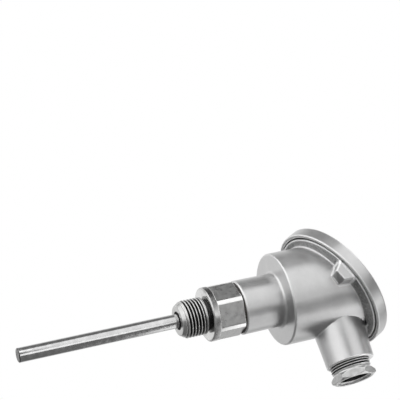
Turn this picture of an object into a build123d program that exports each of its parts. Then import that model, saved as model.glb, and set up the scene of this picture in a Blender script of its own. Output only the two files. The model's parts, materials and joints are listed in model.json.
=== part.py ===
from build123d import *
import math
import os

# Resistance thermometer with a cast connection head, in millimetres.
# Origin: centre of the process thread's sealing face. +Z runs up the probe's axis to the head,
# +X is the way the cable leaves, and the XZ plane is the plane of symmetry of the head.

# Play between pieces
FIXED_GAP = 0.02      # round pieces that are welded, brazed or cast in
RUNNING_GAP = 0.05    # threads and shafts that turn, on the radius
FACE_GAP = 0.05       # faces that rest on each other and can part
BODY_GAP = 0.3        # faces of two moving bodies that don't touch

# Slotted cheese-head screws: thread, head diameter, head height, slot width, slot depth
M4 = (4.0, 7.0, 2.6, 1.2, 1.2)
M3 = (3.0, 5.5, 2.0, 0.8, 0.9)
SCREW_EDGE = 0.4
SCREW_TIP_ROOM = 0.5

# Sheath of the measuring insert, with the element and its leads
SHEATH_D = 6.0
SHEATH_WALL = 0.6
SHEATH_END_T = 1.5
SHEATH_PROUD = 2.5    # over the insert's plate
ELEMENT_D = 3.0
ELEMENT_L = 25.0
ELEMENT_END_GAP = 0.5
WIRE_D = 0.7
WIRE_OFFSET = 0.9
WIRE_BEND_R = 1.6

# Protection tube
INSERTION = 106.5     # from the sealing face to the tip
TUBE_PLAY = 0.25      # round the sheath
TUBE_WALL = 0.75
TIP_CHAMFER = 0.4
END_PLUG_T = 3.0
TUBE_SOCKET = 8.0     # how far the tube goes in past the sealing face

# Process fitting
THREAD_D = 20.955     # G 1/2
THREAD_L = 16.0       # sealing face to front face
THREAD_RELIEF_L = 3.1
THREAD_RELIEF_DEPTH = 1.48
THREAD_RELIEF_BEVEL = 1.0
LEAD_IN_DEPTH = 2.18
LEAD_IN_L = 3.3
FRONT_RECESS_W = 1.2  # open ring round the tube
FRONT_RECESS_T = 4.0
HEX_AF = 27.0
HEX_L = 14.8
HEX_TURN = -93.0      # angle of one corner, seen from the head
COLLAR_OUT = 1.5      # past the hexagon's flats
COLLAR_T = 3.5
COLLAR_CHAMFER = 0.4
WELL_PLAY = 0.4       # round the sheath
WELL_FUNNEL = 2.1
SPIGOT_D = 24.0       # M24 x 1.5
SPIGOT_L = 15.0
SPIGOT_RELIEF_DEPTH = 1.0
SPIGOT_RELIEF_L = 2.5
SPIGOT_CHAMFER = 1.0

# Gasket between fitting and head
NECK_GASKET_T = 1.0
NECK_GASKET_INSET = 1.0

# Neck of the connection head
NECK_WALL = 3.1       # round the spigot, at the foot
NECK_DRAFT = 0.2      # how much slimmer the neck is at its top, on the radius
NECK_CHAMFER = 0.6
NECK_L = 23.2
NECK_FILLET = 1.5
SOCKET_ROOM = 1.5     # over the spigot's end
CORE_D = 18.0

# Terminal base of the insert
TERMINAL = (7.0, 7.5, 6.0)
TERMINAL_AT = (10.5, 5.6)
TERMINAL_EDGE = 0.4
TERMINAL_HOLE_D = 2.8
TERMINAL_HOLE_H = 2.6     # above the terminal's foot
WIRE_REACH = 2.0          # how far a lead goes into its terminal
RIVET_D = 3.0
RIVET_HEAD_D = 5.0
RIVET_HEAD_H = 1.4
RIVET_ROOM = 0.5          # from the terminals to the rivets' heads, and on to the base's edge
BASE_T = 10.0
BASE_EDGE = 0.6
BASE_HOLE_PLAY = 0.6      # round the sheath
POCKET_T = 2.0
POCKET_PLAY = 0.1
RIB_W = 2.0
RIB_H = 2.5

# Insert's plate, and the sprung screws that hold it down
PLATE_MARGIN = 1.0        # round the base
PLATE_T = 1.2
PLATE_SLOT_D = 4.8
INSERT_SCREW_INSET = 4.5  # from the plate's edge
INSERT_SCREW_HOLE = 5.0
INSERT_BOSS_D = 9.0
INSERT_BOSS_H = 4.0
SPRING_L = 10.5
SPRING_OUT = 0.55         # past the head of its screw
SPRING_WIRE_D = 0.9
SPRING_TURNS = 5
NOTCH_PLAY = 1.15         # round the springs

# Body of the connection head
INSERT_PLAY = 0.9         # round the insert's plate
BODY_WALL = 3.95
BODY_EDGE_R = 1.0
FLOOR_T = 2.6
CAVITY_FLOOR_R = 1.5

# Tilted rim that the cover closes on
TILT = 25.72              # degrees, the side over the cable entry stands higher
COVER_ROOM = 7.91         # from the clamp screws up to the lip's edge, on the probe's axis
COVER_SHIFT = 1.24        # the cover's centre from that point, up the slope
COVER_SCREW_OUT = 4.15    # the screws' axes past the body's side
RIM_OUT = 4.35            # the rim past the screws' axes
RIM_LOW = -1.5            # heights from here on are above the lip's edge, square to the cover

# Lugs for the cover screws
LUG_OUT = 3.0             # the outward face past the screw's axis
LUG_ROOT = 3.0            # how deep the lug starts inside the body's side
LUG_DEPTH = 5.5           # below the lip's edge at the outward face
LUG_SLOPE = 13.0          # degrees, how the end face falls towards the body
LUG_TOP = (-5.7, 4.3)     # side faces up the slope, at the lip's edge
LUG_FOOT = (-3.6, 2.5)    # the same at the depth of the outward face
LUG_CHAMFER = 1.0
CAST_FILLET = 0.9         # every inner corner where rim, lugs and cable boss meet the body

# Cover and its gasket
COVER_T = 7.36
COVER_PLATE_T = 2.8
LIP_WALL = 2.0
LIP_PLAY = 0.85           # round the rim
COVER_EDGE_R = 1.0
LIP_EDGE_CHAMFER = 0.35
COVER_GASKET_LAND = 0.6   # from the mouth of the cavity
COVER_GASKET_W = 2.1
COVER_GASKET_T = 1.75
COVER_SCREW_SINK = 1.2
COVER_SCREW_ENGAGED = 8.5

# Cable entry
CABLE_DROP = 1.1          # the boss's axis below the lip's edge, on the probe's axis
GLAND_DROP = 0.8          # the machined axis of the gland below that of the cast boss
GLAND_THREAD_D = 22.5     # Pg 16
BOSS_WALL = 2.25          # round the thread, at the mouth
BOSS_DRAFT = 0.75         # how much slimmer the boss is at its mouth, on the radius
BOSS_L = 18.95            # from the body's side
BOSS_EDGE_R = 1.1
CABLE_HOLE_PLAY = 1.0     # round the seal's bore
GLAND_MOUTH_BEVEL = 0.2
SEAL_FACE = 0.15          # the seal's seat past the body's side
SEAL_WALL = 4.75          # from the thread in to the cable
SEAL_T = 8.75
SLIP_WASHER_T = 1.2
SLIP_WASHER_PLAY = 0.2    # round the screw's bore
GLAND_STAND_OFF = 5.1     # the hexagon from the boss's mouth
GLAND_HEX_INSET = 0.25    # the hexagon's flats inside the thread
GLAND_HEX_L = 4.3
GLAND_HEX_TURN = 21.0     # angle of one corner from +Z towards -Y
GLAND_SCREW_WALL = 2.75   # from the thread in to the bore
GLAND_MOUTH_W = 1.2
GLAND_MOUTH_T = 2.2
GLAND_RELIEF_L = 0.8
GLAND_RELIEF_DEPTH = 0.8

# Diameters and places worked out from the sizes above, from the sheath outwards
TUBE_R = SHEATH_D / 2 + TUBE_PLAY + TUBE_WALL
COLLAR_D = HEX_AF + 2 * COLLAR_OUT
NECK_FOOT_D = SPIGOT_D + 2 * NECK_WALL
RIVET_AT = TERMINAL_AT[0] + TERMINAL[0] / 2 + RIVET_ROOM + RIVET_HEAD_D / 2
BASE_D = 2 * (RIVET_AT + RIVET_HEAD_D / 2 + RIVET_ROOM)
PLATE_D = BASE_D + 2 * PLATE_MARGIN
INSERT_SCREW_AT = PLATE_D / 2 - INSERT_SCREW_INSET
SPRING_D = M4[1] + 2 * SPRING_OUT
BASE_NOTCH_D = SPRING_D + 2 * NOTCH_PLAY
CAVITY_D = PLATE_D + 2 * INSERT_PLAY
BODY_D = CAVITY_D + 2 * BODY_WALL
COVER_SCREW_AT = BODY_D / 2 + COVER_SCREW_OUT
RIM_D = 2 * (COVER_SCREW_AT + RIM_OUT)
COVER_D = RIM_D + 2 * (LIP_PLAY + LIP_WALL)
BOSS_MOUTH_D = GLAND_THREAD_D + 2 * BOSS_WALL
BOSS_END = BODY_D / 2 + BOSS_L
GLAND_HEX_AF = GLAND_THREAD_D - 2 * GLAND_HEX_INSET
GLAND_BORE_R = GLAND_THREAD_D / 2 - GLAND_SCREW_WALL
SEAL_BORE_R = GLAND_THREAD_D / 2 - SEAL_WALL
GLAND_SEAT_X = BODY_D / 2 + SEAL_FACE
WASHER_X = GLAND_SEAT_X + SEAL_T + BODY_GAP
SCREW_NOSE_X = WASHER_X + SLIP_WASHER_T + FACE_GAP
GLAND_HEX_X = BOSS_END + GLAND_STAND_OFF

# Heights, from the sealing face up
HEX_TOP = COLLAR_T + HEX_L
SPIGOT_TOP = HEX_TOP + SPIGOT_L
NECK_Z = HEX_TOP + NECK_GASKET_T
SOCKET_TOP = NECK_Z + SPIGOT_L + SOCKET_ROOM
FACE_Z = NECK_Z + NECK_L
FLOOR_Z = FACE_Z + FLOOR_T
BOSS_TOP_Z = FLOOR_Z + INSERT_BOSS_H
PLATE_Z = BOSS_TOP_Z + BODY_GAP
BASE_Z = PLATE_Z + PLATE_T
BASE_TOP_Z = BASE_Z + BASE_T
TERMINAL_Z = BASE_TOP_Z - POCKET_T
CLAMP_SEAT_Z = TERMINAL_Z + TERMINAL[2] + FACE_GAP
SHEATH_TIP_Z = -INSERTION + END_PLUG_T + BODY_GAP
SHEATH_TOP_Z = BASE_Z + SHEATH_PROUD
FILL_Z = SHEATH_TIP_Z + SHEATH_END_T
ELEMENT_TOP_Z = FILL_Z + ELEMENT_END_GAP + ELEMENT_L
COVER_H = CLAMP_SEAT_Z + M3[2] + COVER_ROOM
CABLE_Z = COVER_H - CABLE_DROP
COS_TILT = math.cos(math.radians(TILT))
SIN_TILT = math.sin(math.radians(TILT))
PLATE_UNDERSIDE = COVER_T - COVER_PLATE_T
RIM_TOP = PLATE_UNDERSIDE - BODY_GAP
GASKET_LOW = PLATE_UNDERSIDE - FACE_GAP - COVER_GASKET_T
MOUTH_SHIFT = RIM_TOP * SIN_TILT / COS_TILT - COVER_SHIFT     # centre of the cavity's mouth
GASKET_IN_R = CAVITY_D / COS_TILT / 2 + COVER_GASKET_LAND
FAR = 200.0

# Local frame of the cover: x up the slope, y across, z square to the cover
COVER_FRAME = Plane(
    origin=(COVER_SHIFT * COS_TILT, 0, COVER_H + COVER_SHIFT * SIN_TILT),
    x_dir=(COS_TILT, 0, SIN_TILT),
    z_dir=(-SIN_TILT, 0, COS_TILT),
)
# Local frame of the cable entry: z out along the cable
CABLE_FRAME = Plane(origin=(0, 0, CABLE_Z), x_dir=(0, -1, 0), z_dir=(1, 0, 0))
GLAND_FRAME = Plane(origin=(0, 0, CABLE_Z - GLAND_DROP), x_dir=(0, -1, 0), z_dir=(1, 0, 0))


def turned(points):
    """A turned solid from its half section, given as (radius, height) points."""
    outline = Polyline(*[(r, 0, z) for r, z in points], close=True)
    return revolve(make_face(outline), Axis.Z)


def rod(radius, low, high):
    """A plain round bar along the local z axis."""
    return Pos(0, 0, low) * Cylinder(radius, high - low, align=(Align.CENTER, Align.CENTER, Align.MIN))


def ring(inner, outer, low, high):
    return rod(outer, low, high) - rod(inner, low, high)


def hex_bar(across_flats, low, high, corner_angle):
    flat = RegularPolygon(across_flats / 2, 6, major_radius=False)
    return extrude(Pos(0, 0, low) * Rot(0, 0, corner_angle) * flat, high - low)


def slotted_screw(size, length):
    """Screw with its head's underside at z 0 and its thread pointing down."""
    thread_d, head_d, head_h, slot_w, slot_t = size
    screw = turned([
        (0, -length),
        (thread_d / 2 - SCREW_EDGE, -length),
        (thread_d / 2, -length + SCREW_EDGE),
        (thread_d / 2, 0),
        (head_d / 2, 0),
        (head_d / 2, head_h - SCREW_EDGE),
        (head_d / 2 - SCREW_EDGE, head_h),
        (0, head_h),
    ])
    slot = Pos(0, 0, head_h) * Box(2 * head_d, slot_w, 2 * slot_t)
    return screw - slot


def screw_hole(size, low, high):
    return rod(size[0] / 2 + RUNNING_GAP, low, high)


def protection_tube():
    bore = TUBE_R - TUBE_WALL
    return turned([
        (bore, -INSERTION),
        (TUBE_R - TIP_CHAMFER, -INSERTION),
        (TUBE_R, -INSERTION + TIP_CHAMFER),
        (TUBE_R, TUBE_SOCKET),
        (bore, TUBE_SOCKET),
    ])


def tube_end_plug():
    return rod(TUBE_R - TUBE_WALL - FIXED_GAP, -INSERTION, -INSERTION + END_PLUG_T)


def process_fitting():
    """Threaded connection with collar, hexagon and the spigot that carries the head."""
    thread_r = THREAD_D / 2
    relief_r = thread_r - THREAD_RELIEF_DEPTH
    collar_r = COLLAR_D / 2
    spigot_r = SPIGOT_D / 2
    spigot_relief_r = spigot_r - SPIGOT_RELIEF_DEPTH
    socket_r = TUBE_R + FIXED_GAP
    recess_r = TUBE_R + FRONT_RECESS_W
    well_r = SHEATH_D / 2 + WELL_PLAY
    body = turned([
        (socket_r, -THREAD_L + FRONT_RECESS_T),
        (recess_r, -THREAD_L + FRONT_RECESS_T),
        (recess_r, -THREAD_L),
        (thread_r - LEAD_IN_DEPTH, -THREAD_L),
        (thread_r, -THREAD_L + LEAD_IN_L),
        (thread_r, -THREAD_RELIEF_L),
        (relief_r, -THREAD_RELIEF_L + THREAD_RELIEF_BEVEL),
        (relief_r, 0),
        (collar_r - COLLAR_CHAMFER, 0),
        (collar_r, COLLAR_CHAMFER),
        (collar_r, HEX_TOP),
        (spigot_relief_r, HEX_TOP),
        (spigot_relief_r, HEX_TOP + SPIGOT_RELIEF_L),
        (spigot_r, HEX_TOP + SPIGOT_RELIEF_L),
        (spigot_r, SPIGOT_TOP - SPIGOT_CHAMFER),
        (spigot_r - SPIGOT_CHAMFER, SPIGOT_TOP),
        (well_r + WELL_FUNNEL, SPIGOT_TOP),
        (well_r, SPIGOT_TOP - WELL_FUNNEL),
        (well_r, TUBE_SOCKET),
        (socket_r, TUBE_SOCKET),
    ])
    flats = rod(COLLAR_D, COLLAR_T, HEX_TOP) - hex_bar(HEX_AF, COLLAR_T, HEX_TOP, HEX_TURN)
    return body - flats


def neck_gasket():
    outer = NECK_FOOT_D / 2 - NECK_GASKET_INSET
    return ring(SPIGOT_D / 2 + RUNNING_GAP, outer, HEX_TOP, NECK_Z)


def cover_lug(side):
    """Drafted lug under the rim that takes one cover screw, in the cover's frame."""
    far_in = BODY_D / 2 - LUG_ROOT
    face = COVER_SCREW_AT + LUG_OUT
    draft_0 = (LUG_FOOT[0] - LUG_TOP[0]) / LUG_DEPTH
    draft_1 = (LUG_FOOT[1] - LUG_TOP[1]) / LUG_DEPTH

    def outline(height):
        left = LUG_TOP[0] - draft_0 * height
        right = LUG_TOP[1] - draft_1 * height
        corners = [(left, far_in), (right, far_in), (right, face), (left, face)]
        return make_face(Polyline(*[(u, v, height) for u, v in corners], close=True))

    deepest = -LUG_DEPTH - (face - far_in) * math.tan(math.radians(LUG_SLOPE))
    block = loft([outline(deepest), outline(RIM_TOP)])
    at_face = block.edges().filter_by_position(Axis.Y, face - 0.01, face + 0.01)
    upright = at_face.filter_by(lambda edge: abs(edge.tangent_at(0.5).Z) > 0.5)
    block = chamfer(upright, LUG_CHAMFER)
    below = Pos(0, face, -LUG_DEPTH) * Rot(LUG_SLOPE, 0, 0) * Pos(0, 0, -FAR / 2) * Box(FAR, FAR, FAR)
    block -= below
    return block if side > 0 else mirror(block, Plane.XZ)


def neck_and_body():
    """Turned outer form of neck and round body, cut off by the cover's plane."""
    foot_r = NECK_FOOT_D / 2
    shaft = turned([
        (0, NECK_Z),
        (foot_r - NECK_CHAMFER, NECK_Z),
        (foot_r, NECK_Z + NECK_CHAMFER),
        (foot_r - NECK_DRAFT, FACE_Z),
        (BODY_D / 2, FACE_Z),
        (BODY_D / 2, FAR),
        (0, FAR),
    ])
    for which, radius in ((-1, BODY_EDGE_R), (0, NECK_FILLET)):
        circles = shaft.edges().filter_by(GeomType.CIRCLE)
        corners = circles.filter_by_position(Axis.Z, FACE_Z - 0.01, FACE_Z + 0.01)
        shaft = fillet(corners.sort_by(SortBy.RADIUS)[which], radius)
    return shaft - COVER_FRAME * rod(FAR, RIM_TOP, 2 * FAR)


def cable_boss():
    """Slightly tapered boss that carries the gland."""
    mouth_r = BOSS_MOUTH_D / 2
    root_r = mouth_r + BOSS_DRAFT
    boss = turned([
        (0, CAVITY_D / 4),
        (root_r, CAVITY_D / 4),
        (root_r, BODY_D / 2),
        (mouth_r, BOSS_END),
        (0, BOSS_END),
    ])
    return CABLE_FRAME * fillet(boss.edges().sort_by(Axis.Z)[-1], BOSS_EDGE_R)


def on_body_side(edge):
    """True for the seams that rim, lugs and boss make with the round body."""
    points = [edge.position_at(share) for share in (0.1, 0.5, 0.9)]
    return all(
        abs(math.hypot(p.X, p.Y) - BODY_D / 2) < 0.02 and p.Z > FACE_Z + 2 * BODY_EDGE_R
        for p in points
    )


def head_outside():
    """Neck, round body, tilted rim, lugs and cable boss as one casting, without its hollows."""
    rim = COVER_FRAME * rod(RIM_D / 2, RIM_LOW, RIM_TOP)
    casting = neck_and_body() + rim + cable_boss()
    for side in (1, -1):
        casting += COVER_FRAME * cover_lug(side)
    return fillet(casting.edges().filter_by(on_body_side), CAST_FILLET)


def head_body():
    casting = head_outside()
    cavity = rod(CAVITY_D / 2, FLOOR_Z, FAR)
    cavity = fillet(cavity.edges().sort_by(Axis.Z)[0], CAVITY_FLOOR_R)
    casting -= cavity
    casting -= rod(CORE_D / 2, SOCKET_TOP, FLOOR_Z + 1)
    socket_r = SPIGOT_D / 2 + RUNNING_GAP
    casting -= turned([
        (0, NECK_Z),
        (socket_r + NECK_CHAMFER, NECK_Z),
        (socket_r, NECK_Z + NECK_CHAMFER),
        (socket_r, SOCKET_TOP),
        (0, SOCKET_TOP),
    ])
    for side in (1, -1):
        boss = Pos(0, side * INSERT_SCREW_AT, 0) * rod(INSERT_BOSS_D / 2, FLOOR_Z - 1, BOSS_TOP_Z)
        reach = (CAVITY_D + BODY_D) / 4 - INSERT_SCREW_AT
        foot = Box(INSERT_BOSS_D, reach, INSERT_BOSS_H + 1, align=(Align.CENTER, Align.MIN, Align.MIN))
        foot = Pos(0, INSERT_SCREW_AT, FLOOR_Z - 1) * foot
        casting += boss + (foot if side > 0 else mirror(foot, Plane.XZ))
        hole = screw_hole(M4, BOSS_TOP_Z - INSERT_SCREW_HOLE, BOSS_TOP_Z)
        casting -= Pos(0, side * INSERT_SCREW_AT, 0) * hole
        hole = screw_hole(M4, RIM_TOP - COVER_SCREW_ENGAGED - SCREW_TIP_ROOM, RIM_TOP)
        casting -= COVER_FRAME * Pos(0, side * COVER_SCREW_AT, 0) * hole
    thread_r = GLAND_THREAD_D / 2 + RUNNING_GAP
    casting -= GLAND_FRAME * rod(SEAL_BORE_R + CABLE_HOLE_PLAY, CAVITY_D / 4, GLAND_SEAT_X)
    casting -= GLAND_FRAME * turned([
        (0, GLAND_SEAT_X),
        (thread_r, GLAND_SEAT_X),
        (thread_r, BOSS_END - GLAND_MOUTH_BEVEL),
        (thread_r + GLAND_MOUTH_BEVEL, BOSS_END),
        (0, BOSS_END),
    ])
    groove = ring(GASKET_IN_R, GASKET_IN_R + COVER_GASKET_W, GASKET_LOW, RIM_TOP)
    return casting - COVER_FRAME * Pos(MOUTH_SHIFT, 0, 0) * groove


def cover_gasket():
    """Flat ring in the rim's groove, round the mouth of the head."""
    inner = GASKET_IN_R + FIXED_GAP
    outer = GASKET_IN_R + COVER_GASKET_W - FIXED_GAP
    seal = ring(inner, outer, GASKET_LOW, GASKET_LOW + COVER_GASKET_T)
    return COVER_FRAME * Pos(MOUTH_SHIFT, 0, 0) * seal


def head_cover():
    """Round cast cover with a lip that reaches down past the rim."""
    outer_r = COVER_D / 2
    inner_r = outer_r - LIP_WALL
    cover = turned([
        (0, PLATE_UNDERSIDE),
        (inner_r, PLATE_UNDERSIDE),
        (inner_r, LIP_EDGE_CHAMFER),
        (inner_r + LIP_EDGE_CHAMFER, 0),
        (outer_r - LIP_EDGE_CHAMFER, 0),
        (outer_r, LIP_EDGE_CHAMFER),
        (outer_r, COVER_T),
        (0, COVER_T),
    ])
    cover = fillet(cover.edges().group_by(Axis.Z)[-1], COVER_EDGE_R)
    for side in (1, -1):
        sink = rod(M4[1] / 2 + BODY_GAP, COVER_T - COVER_SCREW_SINK, COVER_T)
        hole = screw_hole(M4, PLATE_UNDERSIDE, COVER_T)
        cover -= Pos(0, side * COVER_SCREW_AT, 0) * (sink + hole)
    return COVER_FRAME * cover


def cover_screw(side):
    seat = COVER_T - COVER_SCREW_SINK + FACE_GAP
    screw = slotted_screw(M4, seat - RIM_TOP + COVER_SCREW_ENGAGED)
    return COVER_FRAME * Pos(0, side * COVER_SCREW_AT, seat) * screw


def gland_seal():
    """Rubber bush that grips the cable."""
    outer = GLAND_THREAD_D / 2 - BODY_GAP
    return GLAND_FRAME * ring(SEAL_BORE_R, outer, GLAND_SEAT_X, GLAND_SEAT_X + SEAL_T)


def gland_slip_washer():
    inner = GLAND_BORE_R + SLIP_WASHER_PLAY
    outer = GLAND_THREAD_D / 2 - BODY_GAP
    return GLAND_FRAME * ring(inner, outer, WASHER_X, WASHER_X + SLIP_WASHER_T)


def gland_screw():
    """Hollow pressure screw with a hexagon head, its thread left plain."""
    thread_r = GLAND_THREAD_D / 2
    root_r = thread_r - GLAND_RELIEF_DEPTH
    mouth_r = GLAND_BORE_R + GLAND_MOUTH_W
    end = GLAND_HEX_X + GLAND_HEX_L
    flat_r = GLAND_HEX_AF / 2
    corner_r = GLAND_HEX_AF / math.sqrt(3)
    bevel = corner_r - flat_r
    shank = turned([
        (GLAND_BORE_R, SCREW_NOSE_X),
        (root_r, SCREW_NOSE_X),
        (thread_r, SCREW_NOSE_X + GLAND_RELIEF_DEPTH),
        (thread_r, GLAND_HEX_X - GLAND_RELIEF_L - GLAND_RELIEF_DEPTH),
        (root_r, GLAND_HEX_X - GLAND_RELIEF_L),
        (root_r, GLAND_HEX_X),
        (flat_r, GLAND_HEX_X),
        (corner_r, GLAND_HEX_X + bevel),
        (corner_r, end - bevel * math.tan(math.radians(30))),
        (flat_r, end),
        (mouth_r, end),
        (mouth_r, end - GLAND_MOUTH_T),
        (GLAND_BORE_R, end - GLAND_MOUTH_T),
    ])
    flats = rod(GLAND_HEX_AF, GLAND_HEX_X, end) - hex_bar(GLAND_HEX_AF, GLAND_HEX_X, end, 90 - GLAND_HEX_TURN)
    return GLAND_FRAME * (shank - flats)


def insert_plate():
    """Round plate of the measuring insert, with the sheath brazed in its middle."""
    plate = ring(SHEATH_D / 2 + FIXED_GAP, PLATE_D / 2, PLATE_Z, BASE_Z)
    for side in (1, -1):
        plate -= Pos(0, side * INSERT_SCREW_AT, 0) * rod(PLATE_SLOT_D / 2, PLATE_Z, BASE_Z)
        hole_r = RIVET_D / 2 + FIXED_GAP
        plate -= Pos(side * RIVET_AT, 0, 0) * turned([
            (0, PLATE_Z),
            (hole_r + PLATE_T / 2, PLATE_Z),
            (hole_r, PLATE_Z + PLATE_T / 2),
            (hole_r, BASE_Z),
            (0, BASE_Z),
        ])
    return plate


def insert_sheath():
    radius = SHEATH_D / 2
    bore = radius - SHEATH_WALL
    return turned([
        (0, SHEATH_TIP_Z),
        (radius - SHEATH_WALL, SHEATH_TIP_Z),
        (radius, SHEATH_TIP_Z + SHEATH_WALL),
        (radius, SHEATH_TOP_Z),
        (bore, SHEATH_TOP_Z),
        (bore, FILL_Z),
        (0, FILL_Z),
    ])


def lead_wire(x_side, y_side):
    """Lead from the sensing element, straight up the sheath and over to its terminal."""
    start = (x_side * WIRE_OFFSET, y_side * WIRE_OFFSET, ELEMENT_TOP_Z)
    level = TERMINAL_Z + TERMINAL_HOLE_H
    inner_face = TERMINAL_AT[0] - TERMINAL[0] / 2
    turn = (start[0], start[1], level)
    stand_off = (x_side * (inner_face - WIRE_REACH), y_side * TERMINAL_AT[1], level)
    end = (x_side * (inner_face + WIRE_REACH), y_side * TERMINAL_AT[1], level)
    path = FilletPolyline(start, turn, stand_off, end, radius=WIRE_BEND_R)
    section = Plane(origin=start, z_dir=(0, 0, 1)) * Circle(WIRE_D / 2)
    return sweep(section, path)


def sensing_element():
    return rod(ELEMENT_D / 2, ELEMENT_TOP_Z - ELEMENT_L, ELEMENT_TOP_Z)


def mineral_filling():
    """Packed oxide that fills the sheath round the element and its leads."""
    filling = rod(SHEATH_D / 2 - SHEATH_WALL - FIXED_GAP, FILL_Z, SHEATH_TOP_Z)
    filling -= rod(ELEMENT_D / 2 + FIXED_GAP, ELEMENT_TOP_Z - ELEMENT_L, ELEMENT_TOP_Z)
    for x_side, y_side in CORNERS:
        hole = rod(WIRE_D / 2 + FIXED_GAP, ELEMENT_TOP_Z, SHEATH_TOP_Z)
        filling -= Pos(x_side * WIRE_OFFSET, y_side * WIRE_OFFSET, 0) * hole
    return filling


def terminal_base():
    """Ceramic base with a pocket for each terminal and notches for the spring screws."""
    base = rod(BASE_D / 2, BASE_Z, BASE_TOP_Z)
    base = chamfer(base.edges().sort_by(Axis.Z)[-1], BASE_EDGE)
    rib_reach = TERMINAL_AT[0] + TERMINAL[0] / 2
    for side in (1, -1):
        rib_low = TERMINAL_AT[0] - TERMINAL[0] / 2
        rib = Box(rib_reach - rib_low, RIB_W, RIB_H + 1, align=(Align.CENTER, Align.CENTER, Align.MIN))
        base += Pos(side * TERMINAL_AT[0], 0, BASE_TOP_Z - 1) * rib
        notch = rod(BASE_NOTCH_D / 2, BASE_Z, BASE_TOP_Z)
        notch += Pos(0, PLATE_D / 4, BASE_Z) * Box(
            BASE_NOTCH_D, PLATE_D / 2, BASE_T, align=(Align.CENTER, Align.CENTER, Align.MIN))
        notch = Pos(0, INSERT_SCREW_AT, 0) * notch
        base -= notch if side > 0 else mirror(notch, Plane.XZ)
        base -= Pos(side * RIVET_AT, 0, 0) * rod(RIVET_D / 2 + FIXED_GAP, BASE_Z, BASE_TOP_Z)
    for x_side, y_side in CORNERS:
        pocket = Box(
            TERMINAL[0] + 2 * POCKET_PLAY, TERMINAL[1] + 2 * POCKET_PLAY, POCKET_T,
            align=(Align.CENTER, Align.CENTER, Align.MIN))
        base -= Pos(x_side * TERMINAL_AT[0], y_side * TERMINAL_AT[1], TERMINAL_Z) * pocket
    return base - rod(SHEATH_D / 2 + BASE_HOLE_PLAY, BASE_Z, BASE_TOP_Z + RIB_H)


def terminal(x_side, y_side):
    """Brass clamp block: a hole for the wires and a tapped hole for the clamp screw."""
    block = Box(*TERMINAL, align=(Align.CENTER, Align.CENTER, Align.MIN))
    block = chamfer(block.edges().group_by(Axis.Z)[-1], TERMINAL_EDGE)
    across = Pos(0, 0, TERMINAL_HOLE_H) * Rot(0, 90, 0) * Cylinder(TERMINAL_HOLE_D / 2, 2 * TERMINAL[0])
    block -= across
    block -= screw_hole(M3, TERMINAL_HOLE_H, TERMINAL[2])
    return Pos(x_side * TERMINAL_AT[0], y_side * TERMINAL_AT[1], TERMINAL_Z) * block


def clamp_screw(x_side, y_side):
    hole_top = TERMINAL_HOLE_H + TERMINAL_HOLE_D / 2
    screw = slotted_screw(M3, TERMINAL[2] + FACE_GAP - hole_top)
    return Pos(x_side * TERMINAL_AT[0], y_side * TERMINAL_AT[1], CLAMP_SEAT_Z) * screw


def base_rivets():
    """The two rivets that hold the terminal base on the plate."""
    radius = RIVET_D / 2
    head_r = RIVET_HEAD_D / 2
    shank = turned([
        (0, PLATE_Z),
        (radius + PLATE_T / 2, PLATE_Z),
        (radius, PLATE_Z + PLATE_T / 2),
        (radius, BASE_TOP_Z),
        (head_r, BASE_TOP_Z),
        (head_r - RIVET_HEAD_H / 2, BASE_TOP_Z + RIVET_HEAD_H),
        (0, BASE_TOP_Z + RIVET_HEAD_H),
    ])
    return Compound(children=[Pos(side * RIVET_AT, 0, 0) * shank for side in (1, -1)])


def insert_screw(side):
    seat = BASE_Z + SPRING_L
    length = seat - (BOSS_TOP_Z - INSERT_SCREW_HOLE) - SCREW_TIP_ROOM
    return Pos(0, side * INSERT_SCREW_AT, seat) * slotted_screw(M4, length)


def insert_spring(side):
    """Coil spring between the plate and its screw's head."""
    coil_r = (SPRING_D - SPRING_WIRE_D) / 2
    height = SPRING_L - SPRING_WIRE_D - 2 * FACE_GAP
    path = Helix(height / SPRING_TURNS, height, coil_r)
    section = Plane(origin=path @ 0, z_dir=path % 0) * Circle(SPRING_WIRE_D / 2)
    coil = sweep(section, path, is_frenet=True)
    return Pos(0, side * INSERT_SCREW_AT, BASE_Z + SPRING_WIRE_D / 2 + FACE_GAP) * coil


CORNERS = ((1, 1), (1, -1), (-1, -1), (-1, 1))

NODES = {
    "protection_tube": protection_tube(),
    "tube_end_plug": tube_end_plug(),
    "process_fitting": process_fitting(),
    "neck_gasket": neck_gasket(),
    "head_body": head_body(),
    "cover_gasket": cover_gasket(),
    "head_cover": head_cover(),
    "cover_screw_left": cover_screw(1),
    "cover_screw_right": cover_screw(-1),
    "gland_seal": gland_seal(),
    "gland_slip_washer": gland_slip_washer(),
    "gland_screw": gland_screw(),
    "insert_plate": insert_plate(),
    "insert_sheath": insert_sheath(),
    "sensing_element": sensing_element(),
    "mineral_filling": mineral_filling(),
    "terminal_base": terminal_base(),
    "base_rivets": base_rivets(),
    "insert_screw_left": insert_screw(1),
    "insert_screw_right": insert_screw(-1),
    "insert_spring_left": insert_spring(1),
    "insert_spring_right": insert_spring(-1),
}
for number, corner in enumerate(CORNERS, 1):
    NODES[f"terminal_{number}"] = terminal(*corner)
    NODES[f"clamp_screw_{number}"] = clamp_screw(*corner)
    NODES[f"lead_wire_{number}"] = lead_wire(*corner)

os.makedirs("parts", exist_ok=True)
for name, shape in NODES.items():
    export_step(shape, f"parts/{name}.step")
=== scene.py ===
"""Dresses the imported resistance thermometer: threads, screws, springs, finishes and studio."""

import json
import math

import bmesh
import bpy
from bpy.props import FloatProperty, FloatVectorProperty, IntProperty, PointerProperty
from mathutils import Euler, Matrix, Vector


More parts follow.
